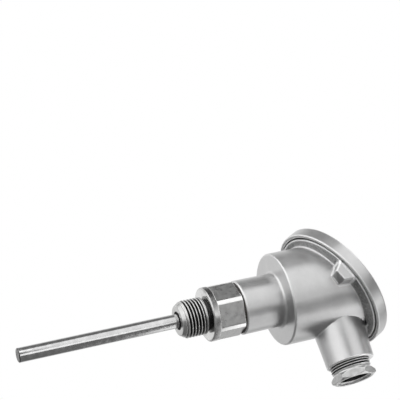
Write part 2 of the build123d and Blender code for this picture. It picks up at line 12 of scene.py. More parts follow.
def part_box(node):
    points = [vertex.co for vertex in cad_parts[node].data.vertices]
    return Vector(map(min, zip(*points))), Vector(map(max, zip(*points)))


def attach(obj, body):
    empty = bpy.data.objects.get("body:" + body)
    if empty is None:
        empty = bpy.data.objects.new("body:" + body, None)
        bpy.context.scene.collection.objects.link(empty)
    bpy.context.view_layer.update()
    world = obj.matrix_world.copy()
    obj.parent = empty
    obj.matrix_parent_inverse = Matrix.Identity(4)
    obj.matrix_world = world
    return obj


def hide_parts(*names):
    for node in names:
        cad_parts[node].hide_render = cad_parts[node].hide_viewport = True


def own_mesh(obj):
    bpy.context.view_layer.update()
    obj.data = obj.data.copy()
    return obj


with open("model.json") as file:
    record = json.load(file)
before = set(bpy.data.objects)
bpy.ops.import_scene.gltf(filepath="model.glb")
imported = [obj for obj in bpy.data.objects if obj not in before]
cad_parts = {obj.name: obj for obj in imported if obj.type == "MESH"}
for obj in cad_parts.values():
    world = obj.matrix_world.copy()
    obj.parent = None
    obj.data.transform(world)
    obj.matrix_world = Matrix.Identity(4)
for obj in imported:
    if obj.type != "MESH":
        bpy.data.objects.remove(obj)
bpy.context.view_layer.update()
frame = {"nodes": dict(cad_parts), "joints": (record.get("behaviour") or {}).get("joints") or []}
NODES = frame["nodes"]

bl_info = {
    "name": "Resistance thermometer with connection head",
    "version": (1, 0, 0),
    "blender": (4, 5, 0),
    "location": "View3D > Sidebar > Thermometer",
    "description": "Threads, screws, springs, finishes and studio for the packed thermometer",
    "category": "Object",
}

MM = 0.001
ROUND = 192               # columns of a large turned piece
EDGE_BREAK = 0.15 * MM    # how far sharp turned edges are eased
EDGE_STEPS = 3            # sides of such an edge
SHARP_FROM = math.radians(32)
CLEAR = 0.02 * MM         # how far a new surface stays off the one beside it


def length(name, millimetres, text):
    return FloatProperty(
        name=name, description=text, default=millimetres * MM, unit="LENGTH", subtype="DISTANCE", precision=5)


def pair(name, low, high, text):
    return FloatVectorProperty(
        name=name, description=text, default=(low * MM, high * MM), size=2, unit="LENGTH")


def angle(name, degrees, text):
    return FloatProperty(name=name, description=text, default=math.radians(degrees), subtype="ANGLE")


def fraction(name, value, text):
    return FloatProperty(name=name, description=text, default=value, min=0, max=1, subtype="FACTOR")


def colour(name, value, text):
    return FloatVectorProperty(
        name=name, description=text, default=value, subtype="COLOR", size=3, min=0.0, max=1.0)


# Sizes and colours that a user would change


class FittingSizes(bpy.types.PropertyGroup):
    """Process fitting, from its sealing face at z 0"""
    thread_d: length("Thread diameter", 20.955, "Outer diameter of the pipe thread")
    pitch: length("Pitch", 1.814, "Distance from crest to crest, 14 to the inch")
    depth: length("Thread depth", 1.16, "From crest to root")
    crest_z: length("Crest place", -3.57, "Height of a crest on the +X side")
    front: length("Front face", 16.0, "From the sealing face to the front face")
    relief_l: length("Relief length", 1.75, "Plain neck between thread and sealing face")
    relief_depth: length("Relief depth", 1.48, "From the crests down to the neck")
    relief_bevel: length("Relief bevel", 0.35, "Length of the slope from crests to neck")
    lead_in_l: length("Lead-in length", 3.3, "Cone at the front end")
    lead_in_depth: length("Lead-in depth", 2.18, "How far the cone comes in")
    recess_w: length("Recess width", 1.22, "Open ring round the protection tube")
    recess_t: length("Recess depth", 4.0, "Depth of that ring")
    hex_af: length("Across flats", 27.0, "Hexagon across its flats")
    collar_t: length("Collar thickness", 3.5, "Round collar under the hexagon")
    bevel_w: length("Bevel width", 0.9, "How far the collar's front edge comes in")
    bevel_t: length("Bevel length", 0.5, "Length of that bevel along the axis")
    hex_turn: angle("Hexagon turn", -93, "Angle of one corner from +X")
    spigot_in: length("Spigot inset", 2.1, "From the neck gasket's edge to the spigot")
    undercut_w: length("Undercut depth", 1.0, "Groove round the spigot's foot, and its end's chamfer")
    undercut_l: length("Undercut length", 2.5, "Length of that groove")
    well_play: length("Well play", 0.4, "Round the insert's sheath")
    well_mouth: length("Well mouth", 2.1, "Chamfer at the top of the well")


class HeadSizes(bpy.types.PropertyGroup):
    """Cast head; heights of rim and lugs are above the lip's edge, square to the cover"""
    cover_h: length("Cover height", 74.56, "Lip's edge over the sealing face, on the probe's axis")
    cover_shift: length("Cover shift", 1.24, "The cover's centre from that point, up the slope")
    body_r: length("Body radius", 25.85, "Round body")
    boss_z: length("Boss height", 73.46, "Axis of the cable boss over the sealing face")
    boss_root_r: length("Boss root", 14.25, "Radius of the cable boss at the body")
    boss_mouth_r: length("Boss mouth", 13.5, "Radius of the cable boss at its mouth")
    boss_end: length("Boss end", 44.8, "Mouth of the cable boss from the probe's axis")
    rim_low: length("Rim's foot", -0.5, "Underside of the rim")
    rim_r: length("Rim radius", 34.35, "Outside of the rim")
    screw_at: length("Screw place", 30.0, "Cover screws from the cover's centre")
    lug_out: length("Lug face", 3.1, "Foot of the lug's outward face past the screw")
    lug_inset: length("Lug inset", 0.3, "Top of that face inside the rim's edge")
    lug_depth: length("Lug depth", 5.2, "From the rim's underside to the foot of that face")
    lug_chamfer: length("Lug chamfer", 0.7, "Chamfer of the lug's upright edges")
    lug_slope: angle("Lug slope", 6, "How the end face falls inwards")
    lug_top: pair("Lug top", -6.3, 6.1, "Side faces up the slope, at the rim")
    lug_foot: pair("Lug foot", -3.8, 3.2, "Side faces at the foot")
    lug_hole: length("Screw hole", 2.05, "Radius of the hole in a lug")


class GlandSizes(bpy.types.PropertyGroup):
    """Pressure screw of the cable gland, along +X"""
    thread_d: length("Thread diameter", 22.5, "Outer diameter of the conduit thread")
    pitch: length("Pitch", 1.411, "Distance from crest to crest, 18 to the inch")
    depth: length("Thread depth", 0.8, "From crest to root")
    relief_l: length("Relief length", 0.8, "Plain groove before the hexagon")
    bore_d: length("Bore", 17.0, "Way for the cable")
    mouth_w: length("Mouth width", 1.2, "How far the mouth opens past the bore")
    mouth_t: length("Mouth depth", 1.5, "Depth of the wider mouth")
    hex_af: length("Across flats", 22.0, "Hexagon across its flats")
    hex_l: length("Hexagon length", 4.3, "Length of the hexagon")
    hex_turn: angle("Hexagon turn", 111, "Angle of one corner from +Y")


class ScrewSizes(bpy.types.PropertyGroup):
    """Slotted cheese-head screws, M4 in cover and insert and M3 in the terminals, and springs"""
    pitch_m4: length("Pitch of M4", 0.7, "Distance from crest to crest")
    pitch_m3: length("Pitch of M3", 0.5, "Distance from crest to crest")
    slot_m4: length("Slot of M4", 1.2, "Width and depth of the slot")
    slot_m3: length("Slot of M3", 0.8, "Width and depth of the slot")
    edge: length("Edge", 0.4, "Rounding of the head's top edge, and the tip's chamfer")
    spring_wire: length("Spring wire", 0.9, "Wire of the insert's springs")
    spring_turns: IntProperty(
        name="Spring turns", description="Turns of each spring", default=6, min=3, max=12)


class FinishColours(bpy.types.PropertyGroup):
    """Base colours of the finishes"""
    cast: colour("Cast aluminium", (0.62, 0.62, 0.62), "Body and cover of the head")
    steel: colour("Turned steel", (0.58, 0.58, 0.575), "Process fitting")
    polished: colour("Polished steel", (0.68, 0.68, 0.68), "Protection tube")
    nickel: colour("Nickel plating", (0.72, 0.72, 0.715), "Gland screw and washer")
    zinc: colour("Zinc plating", (0.60, 0.61, 0.64), "Screws")
    brass: colour("Brass", (0.72, 0.53, 0.26), "Terminals")
    ceramic: colour("Ceramic", (0.80, 0.78, 0.72), "Terminal base")
    rubber: colour("Rubber", (0.025, 0.025, 0.027), "Cable seal and cover gasket")
    fibre: colour("Fibre", (0.05, 0.045, 0.042), "Neck gasket")
    oxide: colour("Oxide", (0.72, 0.70, 0.66), "Filling of the sheath")
    white: colour("White sleeve", (0.78, 0.77, 0.73), "Two of the leads")
    red: colour("Red sleeve", (0.50, 0.04, 0.03), "The other two leads")


class StudioSettings(bpy.types.PropertyGroup):
    """Camera, lamps and surroundings"""
    camera_at: FloatVectorProperty(
        name="Camera place", description="Where the lens stands", default=(0.2325, -0.8400, -0.3107),
        subtype="TRANSLATION", size=3)
    camera_turn: FloatVectorProperty(
        name="Camera turn", description="Which way it looks, with its roll",
        default=[math.radians(a) for a in (153.035, -67.156, -41.540)], subtype="EULER", size=3)
    lens: FloatProperty(name="Lens", description="Focal length", default=152.24, unit="CAMERA")
    floor_z: length("Floor", -2400.0, "Height of the floor, below the camera's view")
    floor_r: length("Floor radius", 4500.0, "Reach of the round floor")
    floor_glow: fraction("Floor glow", 0.72, "What makes the floor as white as the rest")
    room: fraction("Room", 0.18, "Grey of the room behind the camera")


# Soft boxes: name, bearing and height in degrees, distance, width and height in metres, strength (1 is white)
SOFT_BOXES = (
    ("box_left", -56, 33, 1.0, 1.86, 1.70, 1.22),
    ("box_far_left", -116, 13, 1.1, 1.20, 1.28, 0.47),
    ("box_right", 46, 47, 1.4, 1.32, 1.60, 0.94),
    ("box_behind", 123, 46, 1.4, 1.06, 1.28, 1.17),
    ("strip_front", 26, 3, 1.6, 1.06, 0.67, 1.21),
    ("card_below", 114, -46, 1.4, 1.18, 0.84, 0.97),
    ("strip_below", 77, -29, 1.4, 0.56, 0.84, 1.99),
)


# Short ways to write node trees


class Tree:
    """Adds nodes to one tree and joins them up."""

    def __init__(self, tree):
        self.tree = tree

    def node(self, kind, *values, **settings):
        """One node: its inputs in order, None to skip, and its settings by name."""
        made = self.tree.nodes.new(kind)
        for key, value in settings.items():
            setattr(made, key, value)
        self.feed(made, dict(enumerate(values)))
        return made

    def feed(self, node, values):
        for key, value in values.items():
            if value is None:
                continue
            if isinstance(value, bpy.types.NodeSocket):
                self.tree.links.new(value, node.inputs[key])
            else:
                node.inputs[key].default_value = value
        return node

    def math(self, operation, *values):
        return self.node("ShaderNodeMath", *values, operation=operation).outputs[0]

    def times(self, *values):
        return self.math("MULTIPLY", *values)

    def less(self, *values):
        return self.math("SUBTRACT", *values)

    def vector(self, operation, *values, result=0):
        return self.node("ShaderNodeVectorMath", *values, operation=operation).outputs[result]

    def point(self, *values):
        return self.node("ShaderNodeCombineXYZ", *values).outputs[0]

    def span(self, value, low, high, to_low=0.0, to_high=1.0, smooth=False):
        """The value carried from one span to another, held at both ends."""
        kind = "SMOOTHSTEP" if smooth else "LINEAR"
        made = self.node("ShaderNodeMapRange", value, low, high, to_low, to_high, interpolation_type=kind)
        return made.outputs[0]

    def mix(self, share, first, second):
        made = self.node("ShaderNodeMix", data_type="RGBA")
        self.feed(made, {0: share, 6: first, 7: second})
        return made.outputs[2]

    def noise(self, place, size, detail, roughness=0.5, share=1.0):
        made = self.node("ShaderNodeTexNoise", place)
        self.feed(made, {"Scale": self.math("DIVIDE", share, size), "Detail": detail, "Roughness": roughness})
        return made.outputs["Fac"]

    def round_z(self, place):
        """A point's distance from the z axis, and its three coordinates."""
        x, y, z = self.node("ShaderNodeSeparateXYZ", place).outputs
        return self.math("SQRT", self.math("ADD", self.times(x, x), self.times(y, y))), x, y, z


FLOAT = "NodeSocketFloat"
GEOMETRY = "NodeSocketGeometry"
GROOVE = "groove"         # how deep the thread is cut at a point, 0 to 1


def group_of(name, kind, inputs, outputs):
    """A new node group with its sockets, as (group, tree helper, inputs, output node)."""
    group = bpy.data.node_groups.new(name, kind)
    for label, socket, value in inputs:
        made = group.interface.new_socket(label, in_out="INPUT", socket_type=socket)
        if value is not None:
            made.default_value = value
    for label, socket in outputs:
        group.interface.new_socket(label, in_out="OUTPUT", socket_type=socket)
    tree = Tree(group)
    given = tree.node("NodeGroupInput").outputs
    result = tree.node("NodeGroupOutput")
    return group, tree, given, result


def geometry_group(name, values):
    """A geometry group that takes a blank, some sizes and a material."""
    sizes = [(label, FLOAT, value) for label, value in values.items()]
    return group_of(
        name, "GeometryNodeTree",
        [("Blank", GEOMETRY, None), *sizes, ("Material", "NodeSocketMaterial", None)], [("Geometry", GEOMETRY)])


def coated(tree, given, result, shaped):
    """Ends a geometry group: the shape as real geometry in the given material."""
    realised = tree.node("GeometryNodeRealizeInstances", shaped.outputs[0])
    painted = tree.node("GeometryNodeSetMaterial")
    tree.feed(painted, {"Geometry": realised.outputs[0], "Material": given["Material"]})
    tree.feed(result, {0: painted.outputs[0]})


def thread_tree():
    """Cuts a right-hand thread into a turned blank that stands along z."""
    group, tree, given, result = geometry_group("Cut Thread", {
        "Radius": 0.01, "Pitch": 0.001, "Depth": 0.001, "Crest Z": 0.0, "Low": 0.0, "High": 0.01,
        "Run Out": 0.001})
    position = tree.node("GeometryNodeInputPosition").outputs[0]
    radius, x, y, z = tree.round_z(position)
    turn = tree.math("DIVIDE", tree.math("ARCTAN2", y, x), math.tau)
    rise = tree.math("DIVIDE", tree.less(z, given["Crest Z"]), given["Pitch"])
    phase = tree.math("FRACT", tree.less(rise, turn))
    # 0 on the crest and 1 in the root, both a little flat
    valley = tree.less(1.0, tree.math("ABSOLUTE", tree.math("MULTIPLY_ADD", phase, 2.0, -1.0)))
    valley = tree.span(valley, 0.12, 0.9)
    begins = tree.span(z, given["Low"], tree.math("ADD", given["Low"], given["Run Out"]))
    ends = tree.span(z, given["High"], tree.less(given["High"], given["Run Out"]))
    depth = tree.times(tree.times(valley, given["Depth"]), tree.times(begins, ends))
    wanted = tree.math("MINIMUM", radius, tree.less(given["Radius"], depth))
    # Only the outside of the blank is cut, not a bore or a core under the thread's root
    root = tree.math("MULTIPLY_ADD", given["Depth"], -1.25, given["Radius"])
    in_reach = tree.times(
        tree.math("GREATER_THAN", z, given["Low"]), tree.math("LESS_THAN", z, given["High"]))
    threaded = tree.times(tree.math("GREATER_THAN", radius, root), in_reach)
    removed = tree.math("DIVIDE", tree.less(radius, wanted), given["Depth"])
    marked = tree.node("GeometryNodeStoreNamedAttribute", given["Blank"], None, GROOVE,
                       tree.times(removed, threaded), data_type="FLOAT", domain="POINT")
    share = tree.math("DIVIDE", wanted, tree.math("MAXIMUM", radius, 1e-6))
    moved = tree.vector("MULTIPLY", position, tree.point(share, share, 1.0))
    coated(tree, given, result, tree.node("GeometryNodeSetPosition", marked.outputs[0], threaded, moved))
    return group


def slot_tree():
    """Mills a slot across the top of a screw's head."""
    group, tree, given, result = geometry_group("Mill Slot", {
        "Head Top": 0.002, "Width": 0.001, "Depth": 0.001, "Reach": 0.02})
    size = tree.point(given["Reach"], given["Width"], tree.times(given["Depth"], 2.0))
    lifted = tree.node("GeometryNodeTransform")
    tree.feed(lifted, {"Geometry": tree.node("GeometryNodeMeshCube", size).outputs[0],
                       "Translation": tree.point(0.0, 0.0, given["Head Top"])})
    milled = tree.node("GeometryNodeMeshBoolean", operation="DIFFERENCE")
    tree.feed(milled, {0: given["Blank"], 1: lifted.outputs[0]})
    coated(tree, given, result, milled)
    return group


def spring_tree():
    """A coil spring from z 0 up, with its end turns closed."""
    group, tree, given, result = geometry_group("Coil Spring", {
        "Height": 0.01, "Outside": 0.004, "Wire": 0.001, "Turns": 6.0})
    wire_r = tree.times(given["Wire"], 0.5)
    coil_r = tree.less(given["Outside"], wire_r)
    spiral = tree.node("GeometryNodeCurveSpiral")
    tree.feed(spiral, {"Resolution": 36, "Rotations": given["Turns"], "Start Radius": coil_r,
                       "End Radius": coil_r, "Height": 0.0})
    turns = tree.times(tree.node("GeometryNodeSplineParameter").outputs["Factor"], given["Turns"])
    closed, closed_top = (tree.times(tree.math("MINIMUM", way, 1.0), given["Wire"])
                          for way in (turns, tree.less(given["Turns"], turns)))
    free = tree.less(given["Height"], tree.times(given["Wire"], 3.0))
    share = tree.math("DIVIDE", tree.less(turns, 1.0), tree.less(given["Turns"], 2.0))
    share = tree.node("ShaderNodeClamp", share, 0.0, 1.0).outputs[0]
    rise = tree.math("ADD", closed, tree.times(share, free))
    rise = tree.math("ADD", rise, tree.less(given["Wire"], closed_top))
    lift = tree.point(0.0, 0.0, tree.math("ADD", rise, wire_r))
    raised = tree.node("GeometryNodeSetPosition", spiral.outputs[0], None, None, lift)
    profile = tree.node("GeometryNodeCurvePrimitiveCircle")
    tree.feed(profile, {"Resolution": 16, "Radius": wire_r})
    wire = tree.node("GeometryNodeCurveToMesh", raised.outputs[0], profile.outputs[0])
    tree.feed(wire, {"Fill Caps": True})
    coated(tree, given, result, wire)
    return group


def cut(piece, group, values):
    """Runs a geometry tree on a piece and leaves the result as its plain mesh."""
    modifier = piece.modifiers.new(group.name, "NODES")
    modifier.node_group = group
    for item in group.interface.items_tree:
        if item.in_out == "INPUT" and item.name in values:
            modifier[item.identifier] = values[item.name]
    return settled(piece)


def settled(piece):
    """Makes what the modifiers give the piece's own plain mesh, and takes them off."""
    piece.update_tag()
    graph = bpy.context.evaluated_depsgraph_get()
    graph.update()
    made = bpy.data.meshes.new_from_object(piece.evaluated_get(graph), depsgraph=graph)
    made.name = piece.name
    piece.modifiers.clear()
    piece.data = made
    return piece


def combined(piece, operation, other):
    """The piece with another one joined on or cut out, which is used up."""
    modifier = piece.modifiers.new("combine", "BOOLEAN")
    modifier.operation = operation
    modifier.solver = "EXACT"
    modifier.object = other
    settled(piece)
    bpy.data.objects.remove(other)
    return piece


# Short ways to make turned and cast pieces


def added(name, data):
    """A new object of the scene."""
    made = bpy.data.objects.new(name, data)
    bpy.context.scene.collection.objects.link(made)
    return made


def as_piece(name, built):
    mesh = bpy.data.meshes.new(name)
    built.to_mesh(mesh)
    built.free()
    return added(name, mesh)


def block_between(name, lower, upper):
    """A closed block between two outlines that have as many points each."""
    built = bmesh.new()
    rings = [[built.verts.new(point) for point in outline] for outline in (lower, upper)]
    for ring in rings:
        built.faces.new(ring)
    for index, corner in enumerate(rings[0]):
        built.faces.new((rings[0][index - 1], corner, rings[1][index], rings[1][index - 1]))
    bmesh.ops.recalc_face_normals(built, faces=built.faces)
    return as_piece(name, built)


def rod(name, low, high, radius):
    """A solid rod round z."""
    return turned(name, [Vector(p) for p in ((0, low), (radius, low), (radius, high), (0, high))], ROUND)


def along_x(height):
    """Lays what stands along z along +X, at a height."""
    return Matrix(((0, 0, 1, 0), (1, 0, 0, 0), (0, 1, 0, height), (0, 0, 0, 1)))


def eased(outline, reach=EDGE_BREAK):
    """A closed outline with each corner rounded, as far as its sides allow."""
    points = []
    for index, corner in enumerate(outline):
        here = Vector(corner)
        back = Vector(outline[index - 1]) - here
        on = Vector(outline[(index + 1) % len(outline)]) - here
        if min(here.x, 1) <= 0 or back.length == 0 or on.length == 0:
            points.append(here)
            continue
        cut_back = min(reach, 0.45 * back.length, 0.45 * on.length)
        start = here + back.normalized() * cut_back
        end = here + on.normalized() * cut_back
        for step in range(EDGE_STEPS + 1):
            t = step / EDGE_STEPS
            points.append((1 - t) ** 2 * start + 2 * t * (1 - t) * here + t * t * end)
    return points


def ruled(points, low, high, step):
    """The outline with extra rows wherever a long side crosses low to high."""
    result = []
    for index, here in enumerate(points):
        on = points[(index + 1) % len(points)]
        result.append(here)
        inside = low <= min(here.y, on.y) and max(here.y, on.y) <= high
        if inside and abs(on.y - here.y) > step:
            rows = math.ceil(abs(on.y - here.y) / step)
            result.extend(here.lerp(on, row / rows) for row in range(1, rows))
    return result


def turned(name, outline, columns, radius_at=None):
    """A mesh turned round z from a closed outline of (radius, height) points."""
    angles = columns if isinstance(columns, list) else [math.tau * c / columns for c in range(columns)]
    built = bmesh.new()
    rings = []
    for radius, height in outline:
        ring = []
        for angle in angles:
            r = radius_at(radius, height, angle) if radius_at else radius
            ring.append(built.verts.new((r * math.cos(angle), r * math.sin(angle), height)))
        rings.append(ring)
    for lower, upper in zip(rings, rings[1:] + rings[:1]):
        for column in range(len(angles)):
            follows = (column + 1) % len(angles)
            built.faces.new((lower[column], lower[follows], upper[follows], upper[column]))
    bmesh.ops.remove_doubles(built, verts=built.verts, dist=1e-8)
    bmesh.ops.recalc_face_normals(built, faces=built.faces)
    return as_piece(name, built)


def hex_columns(corner, half_land):
    """Angles round the axis with one on each edge of the hexagon's flats."""
    edges = [(corner + math.radians(60) * k + side * half_land) % math.tau
             for k in range(6) for side in (-1, 1)]
    spare = 0.3 * math.tau / ROUND
    plain = [math.tau * column / ROUND for column in range(ROUND)]
    return sorted(edges + [
        a for a in plain if all(abs((a - edge + math.pi) % math.tau - math.pi) > spare for edge in edges)])


def within_hex(radius, angle, across_flats, corner):
    """The radius, or less where the hexagon's flat is nearer."""
    from_flat = (angle - corner) % math.radians(60) - math.radians(30)
    return min(radius, across_flats / 2 / math.cos(from_flat))


def smooth(piece):
    piece.data.shade_smooth()
    piece.data.set_sharp_from_angle(angle=SHARP_FROM)


def middle(node):
    low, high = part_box(node)
    return (Vector(low) + Vector(high)) / 2


def finished(piece, material, body, *nodes, slot=None):
    """Gives a finished piece its material, its body and the CAD nodes it stands for."""
    piece.data.materials.clear()
    piece.data.materials.append(material)
    if not piece.data.has_custom_normals:
        smooth(piece)
    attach(piece, body)
    if nodes:
        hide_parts(*nodes)
    return piece


def merged_copy(mesh):
    """A copy of a CAD mesh with its loose triangles joined up."""
    built = bmesh.new()
    built.from_mesh(mesh)
    bmesh.ops.remove_doubles(built, verts=built.verts, dist=1e-6)
    copy = bpy.data.meshes.new(mesh.name)
    built.to_mesh(copy)
    built.free()
    for name in ("custom_normal", "sharp_edge", "sharp_face"):
        if name in copy.attributes:
            copy.attributes.remove(copy.attributes[name])
    return copy


def dress(material, *names):
    """Puts a material on CAD nodes."""
    for name in names:
        node = NODES[name]
        if not node.material_slots:
            node.data.materials.append(material)
        for held in node.material_slots:
            held.material = material


# Finishes. Spans and shares were set against the photograph.


def grain_group():
    """Fine uneven grain of a blasted or as-cast skin, and broad mottling."""
    group, tree, given, result = group_of("Blasted Grain", "ShaderNodeTree", [
        ("Grain Size", FLOAT, 0.0004), ("Mottle Size", FLOAT, 0.006)],
        [("Height", FLOAT), ("Mottle", FLOAT), ("Specks", FLOAT)])
    place = tree.node("ShaderNodeTexCoord").outputs["Object"]
    fine = tree.noise(place, given["Grain Size"], 4.0, 0.6)
    tree.feed(result, {"Height": fine, "Mottle": tree.noise(place, given["Mottle Size"], 3.0, 0.55),
                       "Specks": tree.span(fine, 0.58, 0.75)})
    return group


def wear_and_highlight_group():
    """Masks of outer edges, worn and lightened as painted highlight, and of inner corners, lightened as painted
    highlight, with a slightly rounded normal.
    """
    group, tree, given, result = group_of("Edge Wear And Highlight", "ShaderNodeTree", [("Reach", FLOAT, 0.0004)], [
        ("Edges", FLOAT), ("Corners", FLOAT), ("Normal", "NodeSocketVector")])
    bevel = tree.node("ShaderNodeBevel", given["Reach"], samples=6)
    edges, corners = (tree.span(tree.node(
        "ShaderNodeAmbientOcclusion", None, tree.times(given["Reach"], 2.0), samples=8, inside=inside,
        only_local=True).outputs["AO"], 0.95, 0.68) for inside in (True, False))
    tree.feed(result, {"Edges": edges, "Corners": corners, "Normal": bevel.outputs[0]})
    return group


def turning_group():
    """Fine rings that a lathe leaves, round the axis of the given coordinates."""
    group, tree, given, result = group_of("Turning Marks", "ShaderNodeTree", [
        ("Vector", "NodeSocketVector", None), ("Spacing", FLOAT, 0.00015)],
        [("Height", FLOAT), ("Streaks", FLOAT)])
    radius, _, _, z = tree.round_z(given["Vector"])
    line = tree.point(radius, z, 0.0)
    tree.feed(result, {"Height": tree.noise(line, given["Spacing"], 2.0),
                       "Streaks": tree.noise(line, given["Spacing"], 2.0, share=0.12)})
    return group


def ring_mask(tree, place, ring):
    """1 inside a ring round z: its least and most radius, its lowest and highest point."""
    radius, _, _, z = tree.round_z(place)
    mask = 1.0
    for value, least, most in ((radius, *ring[:2]), (z, *ring[2:])):
        mask = tree.times(mask, tree.times(
            tree.math("GREATER_THAN", value, least), tree.math("LESS_THAN", value, most)))
    return mask


def lathe_place(tree, origin, turn):
    """The piece's own coordinates, with z along the axis of a lathe."""
    place = tree.node("ShaderNodeTexCoord").outputs["Object"]
    made = tree.node("ShaderNodeMapping", place, vector_type="TEXTURE")
    return tree.feed(made, {"Location": origin, "Rotation": turn}).outputs[0]


SHARED = {}


def shared(build):
    """The one group of its kind, built when it is first asked for."""
    if build.__name__ not in SHARED:
        SHARED[build.__name__] = build()
    return SHARED[build.__name__]


def material_of(name, **plain):
    """A new material: its tree helper, its Principled node and itself."""
    material = bpy.data.materials.new(name)
    material.use_nodes = True
    tree = Tree(material.node_tree)
    shader = material.node_tree.nodes["Principled BSDF"]
    tree.feed(shader, plain)
    return material, tree, shader


def placed_group(tree, build, **values):
    made = tree.node("ShaderNodeGroup", node_tree=shared(build))
    return tree.feed(made, values).outputs


def grained(tree, grain, mottle):
    return placed_group(tree, grain_group, **{"Grain Size": grain, "Mottle Size": mottle})


def bumped(tree, height, strength, distance, normal=None):
    made = tree.node("ShaderNodeBump")
    tree.feed(made, {"Strength": strength, "Distance": distance, "Height": height, "Normal": normal})
    return made.outputs[0]


def shade(base, factor):
    return tuple(min(1.0, c * factor) for c in base) + (1.0,)


CAST_ROUGH = 0.36         # roughness of the blasted casting
SHADED_ROUGH = 0.55         # and of its skin under the rim, darkened as painted shade


def cast_skin(name, base, tilt, shaded_ring, highlight_band=None):
    """Cast, blasted metal: painted highlight on edges and inner corners, painted shade in one rough ring round
    the cover's axis.

    The last argument is the place, the turn and the ring of a band lightened as painted highlight.
    """
    material, tree, shader = material_of(name, Metallic=1.0)
    skin = grained(tree, 0.35 * MM, 9 * MM)
    coarse = grained(tree, 1.1 * MM, 4 * MM)
    edge = placed_group(tree, wear_and_highlight_group, Reach=0.6 * MM)
    underside_shade = ring_mask(tree, lathe_place(tree, tilt.to_translation(), tilt.to_euler()), shaded_ring)
    tint = tree.mix(tree.span(skin["Mottle"], 0.35, 0.65), shade(base, 0.95), shade(base, 1.05))
    tint = tree.mix(tree.times(skin["Specks"], 0.25), tint, shade(base, 0.6))
    # Painted shade: in one ring, under the rim or the lip, the skin is darkened and made rougher
    shaded_skin = tree.mix(tree.span(coarse["Height"], 0.35, 0.65), shade(base, 0.38), shade(base, 0.8))
    tint = tree.mix(underside_shade, tint, shaded_skin)
    # Painted highlight: a bright band round the boss's mouth
    if highlight_band:
        origin, turn, ring = highlight_band
        tint = tree.mix(ring_mask(tree, lathe_place(tree, origin, turn), ring), tint, shade(base, 1.5))
    # Painted highlight on inner corners and outer edges; outer edges are also worn, and made less metallic so
    # they catch more light
    tint = tree.mix(edge["Corners"], tint, shade(base, 1.35))
    tint = tree.mix(edge["Edges"], tint, shade(base, 1.6))
    rough = tree.span(skin["Mottle"], 0.3, 0.7, CAST_ROUGH - 0.03, CAST_ROUGH + 0.04)
    rough = tree.math("MAXIMUM", rough, tree.times(underside_shade, SHADED_ROUGH))
    tree.feed(shader, {
        "Base Color": tint, "Roughness": tree.math("MULTIPLY_ADD", edge["Edges"], 0.12, rough),
        "Metallic": tree.math("MULTIPLY_ADD", edge["Edges"], -0.25, 1.0),
        "Normal": bumped(tree, skin["Height"], 0.35, 0.02 * MM, edge["Normal"])})
    return material


def turned_metal(name, base, roughness, origin=(0, 0, 0), turn=(0, 0, 0), spacing=0.15 * MM, grain=0.3,
                 shade_rings=(), highlight_rings=(), mirror=(), darker_side=None):
    """Lathe-turned metal: fine rings round its axis, edges lightened as painted highlight, grooves darkened as
    painted shade.

    Shade, highlight and mirror rings round its axis are darkened as painted shade, lightened as painted
    highlight or made smooth. The darker side is a bearing and a ring, dark and patchy on that side.
    """
    material, tree, shader = material_of(name, Metallic=1.0)
    place = lathe_place(tree, origin, turn)
    marks = placed_group(tree, turning_group, Vector=place, Spacing=spacing)
    skin = grained(tree, 0.5 * MM, 3 * MM)
    edge = placed_group(tree, wear_and_highlight_group, Reach=0.2 * MM)

    def rings(spans, mask=0.0):
        for ring in spans:
            mask = tree.math("MAXIMUM", mask, ring_mask(tree, place, ring))
        return mask

    tint = tree.mix(tree.span(skin["Mottle"], 0.35, 0.65), shade(base, 0.86), shade(base, 1.08))
    tint = tree.mix(tree.times(marks["Streaks"], 0.2), tint, shade(base, 0.75))
    tint = tree.mix(tree.times(skin["Specks"], grain), tint, shade(base, 0.45))
    # Painted highlight: the given rings are lightened
    tint = tree.mix(rings(highlight_rings), tint, shade(base, 1.6))
    # One side made darker and patchy within a ring
    if darker_side:
        bearing, ring = darker_side
        out = tree.vector("NORMALIZE", tree.vector("MULTIPLY", place, (1, 1, 0)))
        side = (math.cos(bearing), math.sin(bearing), 0)
        toward = tree.vector("DOT_PRODUCT", out, side, result="Value")
        patch = tree.times(tree.span(toward, 0.3, 0.7, smooth=True), rings([ring]))
        patchy = tree.mix(tree.span(skin["Height"], 0.35, 0.6), shade(base, 0.12), shade(base, 0.42))
        tint = tree.mix(patch, tint, patchy)
    # Painted highlight on outer edges and thread crests, which are also worn and made less metallic
    tint = tree.mix(edge["Edges"], tint, shade(base, 1.7))
    # Painted shade: the thread's grooves and the given rings are darkened
    groove = tree.node("ShaderNodeAttribute", attribute_name=GROOVE).outputs["Fac"]
    tint = tree.mix(rings(shade_rings, tree.span(groove, 0.16, 0.42)), tint, shade(base, 0.1))
    rough = tree.span(skin["Mottle"], 0.3, 0.7, roughness - 0.05, roughness + 0.06)
    rough = tree.times(rough, tree.span(rings(mirror), 0.0, 1.0, 1.0, 0.35))
    height = tree.math("ADD", marks["Height"], tree.times(skin["Height"], grain))
    tree.feed(shader, {
        "Base Color": tint, "Roughness": rough,
        "Metallic": tree.math("MULTIPLY_ADD", edge["Edges"], -0.5, 1.0),
        "Normal": bumped(tree, height, 0.3, 0.01 * MM, edge["Normal"])})
    return material


